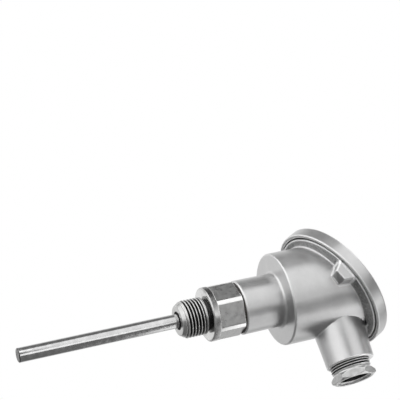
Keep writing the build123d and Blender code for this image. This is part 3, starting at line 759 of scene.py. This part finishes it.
def plain_skin(name, base, roughness, grain=0.2 * MM, depth=0.01 * MM, metallic=0.0, mottle=0.08):
    """A non-metal or wire with fine grain and slightly uneven colour."""
    material, tree, shader = material_of(name, Metallic=metallic)
    skin = grained(tree, grain, 12 * grain)
    tint = tree.mix(tree.span(skin["Mottle"], 0.3, 0.7), shade(base, 1 - mottle), shade(base, 1 + mottle))
    tint = tree.mix(tree.times(skin["Specks"], 0.2), tint, shade(base, 0.7))
    rough = tree.span(skin["Mottle"], 0.3, 0.7, roughness - 0.05, roughness + 0.05)
    tree.feed(shader, {
        "Base Color": tint, "Roughness": rough, "Normal": bumped(tree, skin["Height"], 0.4, depth)})
    return material


def background_rays(tree, direction, studio):
    """Rays that see the background: straight or through glass, and mirrored ones that point at it."""
    away = Euler(studio.camera_turn).to_matrix() @ Vector((0, 0, -1))
    facing = tree.vector("DOT_PRODUCT", tree.vector("NORMALIZE", direction), tuple(away), result="Value")
    path = tree.node("ShaderNodeLightPath").outputs
    seen = tree.math("MAXIMUM", path["Is Camera Ray"], path["Is Transmission Ray"])
    return seen, tree.times(path["Is Glossy Ray"], tree.span(facing, 0.46, 1.0, smooth=True))


# Operators, one for each piece or group of like pieces


class THERMO_OT_protection_tube(bpy.types.Operator):
    """Polished tube with its welded tip"""
    bl_idname = "thermo.protection_tube"
    bl_label = "Protection Tube"

    def execute(self, context):
        colours = context.scene.thermo_finish
        low, high = (Vector(v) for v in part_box("protection_tube"))
        radius = (high.x - low.x) / 2
        bore = radius - 0.75 * MM
        chamfer = 0.4 * MM
        outline = eased([
            (bore, low.z), (radius - chamfer, low.z), (radius, low.z + chamfer), (radius, high.z),
            (bore, high.z)])
        tube = turned("protection_tube_polished", outline, 128)
        # Painted shade darkens the tube's tip end
        metal = turned_metal("polished_steel", colours.polished, 0.16, spacing=0.4 * MM, grain=0.15,
                             shade_rings=[(0, 2 * radius, low.z - 0.1 * MM, low.z + chamfer + 0.05 * MM)])
        finished(tube, metal, "head", "protection_tube", slot="stainless_steel")
        # The plug's steel is darkened as a painted reflection of dark surroundings
        dress(turned_metal("tube_tip_painted_reflection", shade(colours.steel, 0.3)[:3], 0.4), "tube_end_plug")
        return {"FINISHED"}


class THERMO_OT_process_fitting(bpy.types.Operator):
    """Process fitting with its pipe thread, collar, hexagon and spigot"""
    bl_idname = "thermo.process_fitting"
    bl_label = "Process Fitting"

    def execute(self, context):
        sizes = context.scene.thermo_fitting
        collar_r, _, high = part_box("process_fitting")[1]
        tube_x, _, tube_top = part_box("protection_tube")[1]
        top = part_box("neck_gasket")[0][2]
        spigot_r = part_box("neck_gasket")[1][0] - sizes.spigot_in
        undercut_r = spigot_r - sizes.undercut_w
        thread_r = sizes.thread_d / 2
        relief_r = thread_r - sizes.relief_depth
        relief_z = sizes.relief_bevel - sizes.relief_l
        tube_r = tube_x + CLEAR
        recess_r = tube_x + sizes.recess_w - CLEAR
        well_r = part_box("insert_sheath")[1][0] + sizes.well_play
        hex_low = sizes.collar_t + 0.01 * MM
        outline = eased([
            (tube_r, -sizes.front + sizes.recess_t), (recess_r, -sizes.front + sizes.recess_t),
            (recess_r, -sizes.front), (thread_r - sizes.lead_in_depth, -sizes.front),
            (thread_r, -sizes.front + sizes.lead_in_l), (thread_r, -sizes.relief_l),
            (relief_r, relief_z), (relief_r, 0), (collar_r - sizes.bevel_w, 0), (collar_r, sizes.bevel_t),
            (collar_r, sizes.collar_t), (collar_r, hex_low), (collar_r, top),
            (undercut_r, top), (undercut_r, top + sizes.undercut_l), (spigot_r, top + sizes.undercut_l),
            (spigot_r, high - sizes.undercut_w), (undercut_r, high),
            (well_r + sizes.well_mouth, high), (well_r, high - sizes.well_mouth),
            (well_r, tube_top), (tube_r, tube_top),
        ])
        outline = ruled(outline, -sizes.front, relief_z, sizes.pitch / 14)
        half_land = math.radians(30) - math.acos(sizes.hex_af / 2 / collar_r)

        def radius_at(radius, height, angle):
            if hex_low - 0.005 * MM < height < top + 0.01 * MM and radius > spigot_r:
                return within_hex(radius, angle, sizes.hex_af, sizes.hex_turn)
            return radius

        columns = hex_columns(sizes.hex_turn, half_land)
        fitting = turned("process_fitting_threaded", outline, columns, radius_at)
        seat = 0.1 * MM - sizes.relief_l
        # Painted shade in the relief by the sealing face, painted highlight on the hexagon's lands, and one
        # side of the collar darker and patchy
        metal = turned_metal(
            "turned_steel", context.scene.thermo_finish.steel, 0.30,
            shade_rings=[(0, relief_r + 0.1 * MM, seat, -0.02 * MM)],
            mirror=[(relief_r, collar_r, seat, 0.01 * MM)],
            highlight_rings=[(collar_r - 0.08 * MM, 2 * collar_r, sizes.collar_t, top)],
            darker_side=(math.radians(-145), (
                collar_r - 0.3 * MM, 2 * collar_r, sizes.bevel_t, sizes.collar_t - 0.1 * MM)))
        cut(fitting, shared(thread_tree), {
            "Radius": thread_r, "Pitch": sizes.pitch, "Depth": sizes.depth, "Crest Z": sizes.crest_z,
            "Low": -sizes.front - sizes.pitch, "High": -sizes.relief_l,
            "Run Out": 1.3 * sizes.pitch, "Material": metal})
        finished(fitting, metal, "head", "process_fitting", slot="stainless_steel")
        return {"FINISHED"}


class THERMO_OT_gland_screw(bpy.types.Operator):
    """Pressure screw of the cable gland, threaded, with its hexagon"""
    bl_idname = "thermo.gland_screw"
    bl_label = "Gland Screw"

    def execute(self, context):
        sizes = context.scene.thermo_gland
        low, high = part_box("gland_screw")
        axis_z = middle("gland_slip_washer").z
        nose, end = low[0], high[0]
        thread_r = sizes.thread_d / 2
        root_r = thread_r - sizes.depth
        bore_r = sizes.bore_d / 2
        mouth_r = bore_r + sizes.mouth_w
        mouth_x = end - sizes.mouth_t
        flat_r = sizes.hex_af / 2
        corner_r = sizes.hex_af / math.sqrt(3)
        hex_x = end - sizes.hex_l
        relief_x = hex_x - sizes.relief_l
        bevel = corner_r - flat_r
        outline = eased([
            (bore_r, nose), (root_r, nose), (thread_r, nose + sizes.depth),
            (thread_r, relief_x - sizes.depth), (root_r, relief_x), (root_r, hex_x),
            (flat_r, hex_x), (corner_r, hex_x + bevel),
            (corner_r, end - bevel * math.tan(math.radians(30))), (flat_r, end),
            (mouth_r, end), (mouth_r, mouth_x), (bore_r, mouth_x),
        ], 0.1 * MM)
        outline = ruled(outline, nose, relief_x, sizes.pitch / 12)
        outline = ruled(outline, hex_x, end, 0.25 * MM)

        def radius_at(radius, height, angle):
            if height > hex_x - 0.005 * MM and radius > mouth_r + 0.1 * MM:
                return within_hex(radius, angle, sizes.hex_af, sizes.hex_turn)
            return radius

        screw = turned("gland_screw_threaded", outline, hex_columns(sizes.hex_turn, 0.0), radius_at)
        # Painted shade deep in the bore, and painted highlight on the wall of its wider mouth
        metal = turned_metal(
            "nickel_plating", context.scene.thermo_finish.nickel, 0.36,
            origin=(0, 0, axis_z), turn=(0, math.radians(90), 0), grain=0.12,
            shade_rings=[(0, bore_r + 0.2 * MM, nose, mouth_x - 0.1 * MM)],
            highlight_rings=[(bore_r, mouth_r + 0.1 * MM, mouth_x - 0.1 * MM, end)])
        cut(screw, shared(thread_tree), {
            "Radius": thread_r, "Pitch": sizes.pitch, "Depth": sizes.depth, "Crest Z": nose,
            "Low": nose - sizes.pitch, "High": relief_x, "Run Out": sizes.pitch / 2, "Material": metal})
        screw.data.transform(along_x(axis_z))
        finished(screw, metal, "gland_screw", "gland_screw", slot="nickel_brass")
        dress(metal, "gland_slip_washer")
        return {"FINISHED"}


def cover_axis():
    """The way in which the cover lifts, square to its plane."""
    return Vector(next(j["axis"] for j in frame["joints"] if j["name"] == "cover_lift")).normalized()


# Cheese-head screws: diameter of the thread, diameter and height of the head
CHEESE_HEADS = {"m4": (4.0 * MM, 7.0 * MM, 2.6 * MM), "m3": (3.0 * MM, 5.5 * MM, 2.0 * MM)}
HEAD_STEPS = 5            # sides of such a head's rounding


def slotted_screw(sizes, node, thread, turn, material, tilt=Matrix()):
    """One screw, made upright and then laid where its CAD node is, with its slot turned."""
    thread_d, head_d, head_h = CHEESE_HEADS[thread]
    pitch, slot = (getattr(sizes, f"{part}_{thread}") for part in ("pitch", "slot"))
    edge = sizes.edge
    low, high = (Vector(v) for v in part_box(node))
    up = tilt.col[2].xyz
    slope = math.hypot(up.x, up.y)
    tip_r = thread_d / 2 - edge
    # The box runs in z from the tip's low rim to the head's high rim
    shank = (high.z - low.z - slope * (head_d / 2 + tip_r)) / up.z - head_h
    tip = Vector(((low.x + high.x) / 2, (low.y + high.y) / 2, low.z + slope * tip_r))
    if slope:
        # It leans toward -X from tip to head, so its tip's rim reaches the box's +X side
        tip.x = high.x - tip_r * up.z
    outline = [Vector(p) for p in (
        (0, -shank), (tip_r, -shank), (thread_d / 2, edge - shank), (thread_d / 2, 0), (head_d / 2, 0),
        (head_d / 2, head_h - edge))]
    for step in range(HEAD_STEPS):
        angle = math.radians(90 * (step + 1) / HEAD_STEPS)
        outline.append(Vector((
            head_d / 2 - edge + edge * math.cos(angle), head_h - edge + edge * math.sin(angle))))
    outline.append(Vector((0, head_h)))
    screw = turned(f"{node}_slotted", ruled(outline, edge - shank, 0, pitch / 9), 64)
    cut(screw, shared(thread_tree), {
        "Radius": thread_d / 2, "Pitch": pitch, "Depth": 0.55 * pitch, "Crest Z": 0.0,
        "Low": -shank - pitch, "High": -0.6 * pitch, "Run Out": pitch, "Material": material})
    cut(screw, shared(slot_tree), {
        "Head Top": head_h, "Width": slot, "Depth": slot, "Reach": 2 * head_d, "Material": material})
    screw.data.transform(Matrix.Translation(tip + up * shank) @ tilt @ Matrix.Rotation(turn, 4, "Z"))
    finished(screw, material, node, node, slot="zinc_steel")


class THERMO_OT_screws(bpy.types.Operator):
    """Slotted screws of the cover, the insert and the terminals"""
    bl_idname = "thermo.screws"
    bl_label = "Slotted Screws"

    def execute(self, context):
        sizes = context.scene.thermo_screws
        zinc = turned_metal("zinc_plating", context.scene.thermo_finish.zinc, 0.30, spacing=0.2 * MM)
        tilt = cover_axis().to_track_quat("Z", "Y").to_matrix().to_4x4()
        for side, turn in (("left", 0.5), ("right", -0.9)):
            slotted_screw(sizes, f"cover_screw_{side}", "m4", turn, zinc, tilt)
            slotted_screw(sizes, f"insert_screw_{side}", "m4", 2 * turn, zinc)
        for number, turn in ((1, 0.3), (2, 1.2), (3, -0.4), (4, 2.1)):
            slotted_screw(sizes, f"clamp_screw_{number}", "m3", turn, zinc)
        return {"FINISHED"}


class THERMO_OT_springs(bpy.types.Operator):
    """Coil springs that press the insert down"""
    bl_idname = "thermo.springs"
    bl_label = "Insert Springs"

    def execute(self, context):
        sizes = context.scene.thermo_screws
        steel = plain_skin("spring_steel", (0.42, 0.42, 0.43), 0.3, 0.3 * MM, metallic=1.0)
        for side in ("left", "right"):
            node = f"insert_spring_{side}"
            low, high = (Vector(v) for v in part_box(node))
            centre = (low + high) / 2
            blank = added(f"{node}_coiled", bpy.data.meshes.new(node))
            cut(blank, shared(spring_tree), {
                "Height": high.z - low.z, "Outside": (high.y - low.y) / 2, "Wire": sizes.spring_wire,
                "Turns": float(sizes.spring_turns), "Material": steel})
            blank.data.transform(Matrix.Translation((centre.x, centre.y, low.z)))
            finished(blank, steel, "head", node, slot="spring_steel")
            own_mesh(blank)
        return {"FINISHED"}


class THERMO_OT_head(bpy.types.Operator):
    """Cast head, with its body's rim, boss and lugs trimmed, its cover, and the gaskets"""
    bl_idname = "thermo.head"
    bl_label = "Connection Head"

    def execute(self, context):
        colours = context.scene.thermo_finish
        sizes = context.scene.thermo_head
        tilt = self.cover_frame(sizes)
        # Painted shade darkens the cover lip's lower face and the underside of the body's rim
        dress(cast_skin("cast_aluminium_cover", colours.cast, tilt, (
            sizes.rim_r, sizes.rim_r + 2.45 * MM, -0.1 * MM, 0.1 * MM)), "head_cover")
        # A painted highlight brightens a band at the boss's mouth
        cast = cast_skin(
            "cast_aluminium", colours.cast, tilt,
            (0, 2 * sizes.rim_r, sizes.rim_low - 0.05 * MM, sizes.rim_low + 0.05 * MM),
            highlight_band=((0, 0, sizes.boss_z), (0, math.radians(90), 0),
                      (0, 2 * sizes.boss_mouth_r, sizes.boss_end - 1.0 * MM, sizes.boss_end + 0.1 * MM)))
        finished(self.casting(sizes, tilt), cast, "head", "head_body", slot="cast_aluminium")
        dress(plain_skin("dark_fibre", colours.fibre, 0.8, depth=0.03 * MM), "neck_gasket")
        dress(plain_skin("black_rubber", colours.rubber, 0.55), "cover_gasket", "gland_seal")
        return {"FINISHED"}

    def cover_frame(self, sizes):
        """Where the cover's middle is at the lip's edge: x up the slope, z square to the cover."""
        up = cover_axis()
        along = Vector((0, 1, 0)).cross(up)
        origin = Vector((0, 0, sizes.cover_h)) + along * sizes.cover_shift
        return Matrix.Translation(origin) @ Matrix((along, (0, 1, 0), up)).transposed().to_4x4()

    def casting(self, sizes, cover_frame):
        """The body's own mesh with its rim, boss root and lugs trimmed to the photograph's forms."""
        casting = added("head_body_cast", merged_copy(NODES["head_body"].data))
        boss_x = along_x(sizes.boss_z)
        # What goes: all that hangs under the rim and what fills the boss's root, but not body and boss
        cutter = rod("cutter", sizes.rim_low - 1.9 * sizes.lug_depth, sizes.rim_low, 1.2 * sizes.rim_r)
        cutter.data.transform(cover_frame)
        around = rod("around", 0.6 * sizes.body_r, sizes.body_r + 1.3 * MM, sizes.boss_root_r + 2.2 * MM)
        around.data.transform(boss_x)
        combined(cutter, "UNION", around)
        combined(cutter, "DIFFERENCE", rod("body", 0, 4 * sizes.body_r, sizes.body_r + CLEAR))
        boss = turned("boss", [Vector(p) for p in (
            (0, 0), (sizes.boss_root_r + CLEAR, 0), (sizes.boss_root_r + CLEAR, sizes.body_r),
            (sizes.boss_mouth_r + CLEAR, sizes.boss_end), (0, sizes.boss_end))], ROUND)
        boss.data.transform(boss_x)
        combined(cutter, "DIFFERENCE", boss)
        combined(casting, "DIFFERENCE", cutter)
        for side in (1, -1):
            lug = self.lug(sizes, side)
            lug.data.transform(cover_frame)
            combined(casting, "UNION", lug)
        smooth(casting)
        casting.modifiers.new("even_shading", "WEIGHTED_NORMAL").keep_sharp = True
        return settled(casting)

    def lug(self, sizes, side):
        """Drafted lug under the rim that takes one cover screw, in the cover's frame."""
        inside = sizes.body_r - 3 * MM
        face_top = sizes.rim_r - sizes.lug_inset
        face_foot = sizes.screw_at + sizes.lug_out
        chamfer = sizes.lug_chamfer
        foot_z = sizes.rim_low - sizes.lug_depth
        root_z = sizes.rim_low + 0.3 * MM

        def corners(height):
            share = (sizes.rim_low - height) / sizes.lug_depth
            left, right = (a + (b - a) * share for a, b in zip(sizes.lug_top, sizes.lug_foot))
            face = face_top + (face_foot - face_top) * share
            return [(left, inside), (right, inside), (right, face - chamfer), (right - chamfer, face),
                    (left + chamfer, face), (left, face - chamfer)]

        lower = []
        for index in range(6):
            height = foot_z
            # Slope and draft depend on each other, and settle within a few rounds
            for _ in range(4):
                height = foot_z - (face_foot - corners(height)[index][1]) * math.tan(sizes.lug_slope)
            u, v = corners(height)[index]
            lower.append((u, side * v, height))
        lug = block_between("lug", lower, [(u, side * v, root_z) for u, v in corners(root_z)])
        hole = rod("hole", foot_z + 1 * MM, 1 * MM, sizes.lug_hole)
        hole.data.transform(Matrix.Translation((0, side * sizes.screw_at, 0)))
        return combined(lug, "DIFFERENCE", hole)


class THERMO_OT_insert(bpy.types.Operator):
    """Measuring insert: plate, sheath, terminal base, terminals and leads"""
    bl_idname = "thermo.insert"
    bl_label = "Measuring Insert"

    def execute(self, context):
        colours = context.scene.thermo_finish
        dress(turned_metal("sheath_steel", colours.polished, 0.25), "insert_sheath")
        dress(turned_metal("plate_steel", colours.steel, 0.35, spacing=0.3 * MM), "insert_plate")
        dress(plain_skin("white_ceramic", colours.ceramic, 0.5, mottle=0.04), "terminal_base")
        dress(plain_skin("brass", colours.brass, 0.3, 0.3 * MM, metallic=1.0),
              "terminal_1", "terminal_2", "terminal_3", "terminal_4")
        dress(plain_skin("rivet_steel", colours.zinc, 0.3, 0.3 * MM, metallic=1.0), "base_rivets")
        dress(plain_skin("pressed_oxide", colours.oxide, 0.9, 0.15 * MM, 0.03 * MM), "mineral_filling")
        dress(plain_skin("element_ceramic", colours.ceramic, 0.4), "sensing_element")
        dress(plain_skin("white_sleeve", colours.white, 0.5), "lead_wire_1", "lead_wire_4")
        dress(plain_skin("red_sleeve", colours.red, 0.5), "lead_wire_2", "lead_wire_3")
        return {"FINISHED"}


class THERMO_OT_stage(bpy.types.Operator):
    """Floor, surroundings, lamps and camera"""
    bl_idname = "thermo.stage"
    bl_label = "Studio Stage"

    def execute(self, context):
        studio = context.scene.thermo_studio
        self.floor(studio)
        self.surroundings(context, studio)
        self.camera(context, studio)
        self.lamps(studio)
        context.scene.view_settings.view_transform = "Standard"
        return {"FINISHED"}

    def floor(self, studio):
        """Round pale floor, as white as the surroundings where it is seen, with the object's shadow on it."""
        rim = studio.floor_r
        built = bmesh.new()
        bmesh.ops.create_circle(built, cap_ends=True, segments=96, radius=rim)
        floor = as_piece("floor", built)
        floor.data.transform(Matrix.Translation((0, 0, studio.floor_z)))
        material, tree, shader = material_of("pale_floor", Roughness=0.8)
        place = tree.node("ShaderNodeTexCoord").outputs["Object"]
        seen, mirrored = background_rays(tree, place, studio)
        out = tree.vector("LENGTH", tree.vector("MULTIPLY", place, (1, 1, 0)), result="Value")
        # Toward the rim the glow takes over from the lamps' light, so that no edge shows
        far = tree.times(seen, tree.span(out, 0.3 * rim, 0.95 * rim, smooth=True))
        glow = tree.math("MULTIPLY_ADD", far, 1.0 - studio.floor_glow, tree.times(seen, studio.floor_glow))
        tree.feed(shader, {
            "Base Color": tree.mix(far, (0.9, 0.9, 0.9, 1), (0, 0, 0, 1)), "Emission Color": (1, 1, 1, 1),
            "Emission Strength": tree.math("MULTIPLY_ADD", mirrored, 0.7, glow)})
        floor.data.materials.append(material)

    def surroundings(self, context, studio):
        """White where the photograph's background is, and a grey room elsewhere."""
        world = bpy.data.worlds.new("studio")
        context.scene.world = world
        world.use_nodes = True
        tree = Tree(world.node_tree)
        direction = tree.node("ShaderNodeTexCoord").outputs["Generated"]
        white = tree.math("MAXIMUM", *background_rays(tree, direction, studio))
        strength = tree.math("MULTIPLY_ADD", white, 1.0 - studio.room, studio.room)
        tree.feed(world.node_tree.nodes["Background"], {"Color": (1, 1, 1, 1), "Strength": strength})

    def camera(self, context, studio):
        lens = bpy.data.cameras.new("photo_view")
        lens.lens = studio.lens
        lens.sensor_width = 36
        lens.clip_start = 0.01
        camera = added("photo_view", lens)
        camera.location = studio.camera_at
        camera.rotation_euler = studio.camera_turn
        context.scene.camera = camera

    def lamps(self, studio):
        """Soft boxes round the head, by their bearing to the right of the camera and their height over it."""
        facing = Euler(studio.camera_turn).to_matrix()
        aim = middle("head_body")
        for name, bearing, height, distance, width, tall, strength in SOFT_BOXES:
            lamp = bpy.data.lights.new(name, "AREA")
            lamp.shape = "RECTANGLE"
            lamp.size, lamp.size_y = width, tall
            lamp.energy = strength * math.pi * width * tall
            turn = (Matrix.Rotation(math.radians(bearing), 3, "Y")
                    @ Matrix.Rotation(math.radians(-height), 3, "X"))
            holder = added(name, lamp)
            holder.location = aim + facing @ turn @ Vector((0, 0, distance))
            holder.rotation_euler = (facing @ turn).to_euler()
            holder.visible_camera = False


class THERMO_PT_panel(bpy.types.Panel):
    """Lists the steps that dress the thermometer"""
    bl_idname = "THERMO_PT_panel"
    bl_label = "Thermometer"
    bl_space_type = "VIEW_3D"
    bl_region_type = "UI"
    bl_category = "Thermometer"

    def draw(self, context):
        for step in STEPS:
            self.layout.operator(step.bl_idname)


STEPS = (
    THERMO_OT_stage, THERMO_OT_protection_tube, THERMO_OT_process_fitting, THERMO_OT_gland_screw,
    THERMO_OT_head, THERMO_OT_insert, THERMO_OT_screws, THERMO_OT_springs,
)
GROUPS = {
    "thermo_head": HeadSizes,
    "thermo_fitting": FittingSizes,
    "thermo_gland": GlandSizes,
    "thermo_screws": ScrewSizes,
    "thermo_finish": FinishColours,
    "thermo_studio": StudioSettings,
}


def register():
    for name, group in GROUPS.items():
        bpy.utils.register_class(group)
        setattr(bpy.types.Scene, name, PointerProperty(type=group))
    for step in STEPS + (THERMO_PT_panel,):
        bpy.utils.register_class(step)


def unregister():
    for step in reversed(STEPS + (THERMO_PT_panel,)):
        bpy.utils.unregister_class(step)
    for name, group in GROUPS.items():
        delattr(bpy.types.Scene, name)
        bpy.utils.unregister_class(group)


def main():
    register()
    for step in STEPS:
        section, action = step.bl_idname.split(".")
        getattr(getattr(bpy.ops, section), action)()


if __name__ == "__main__":
    main()
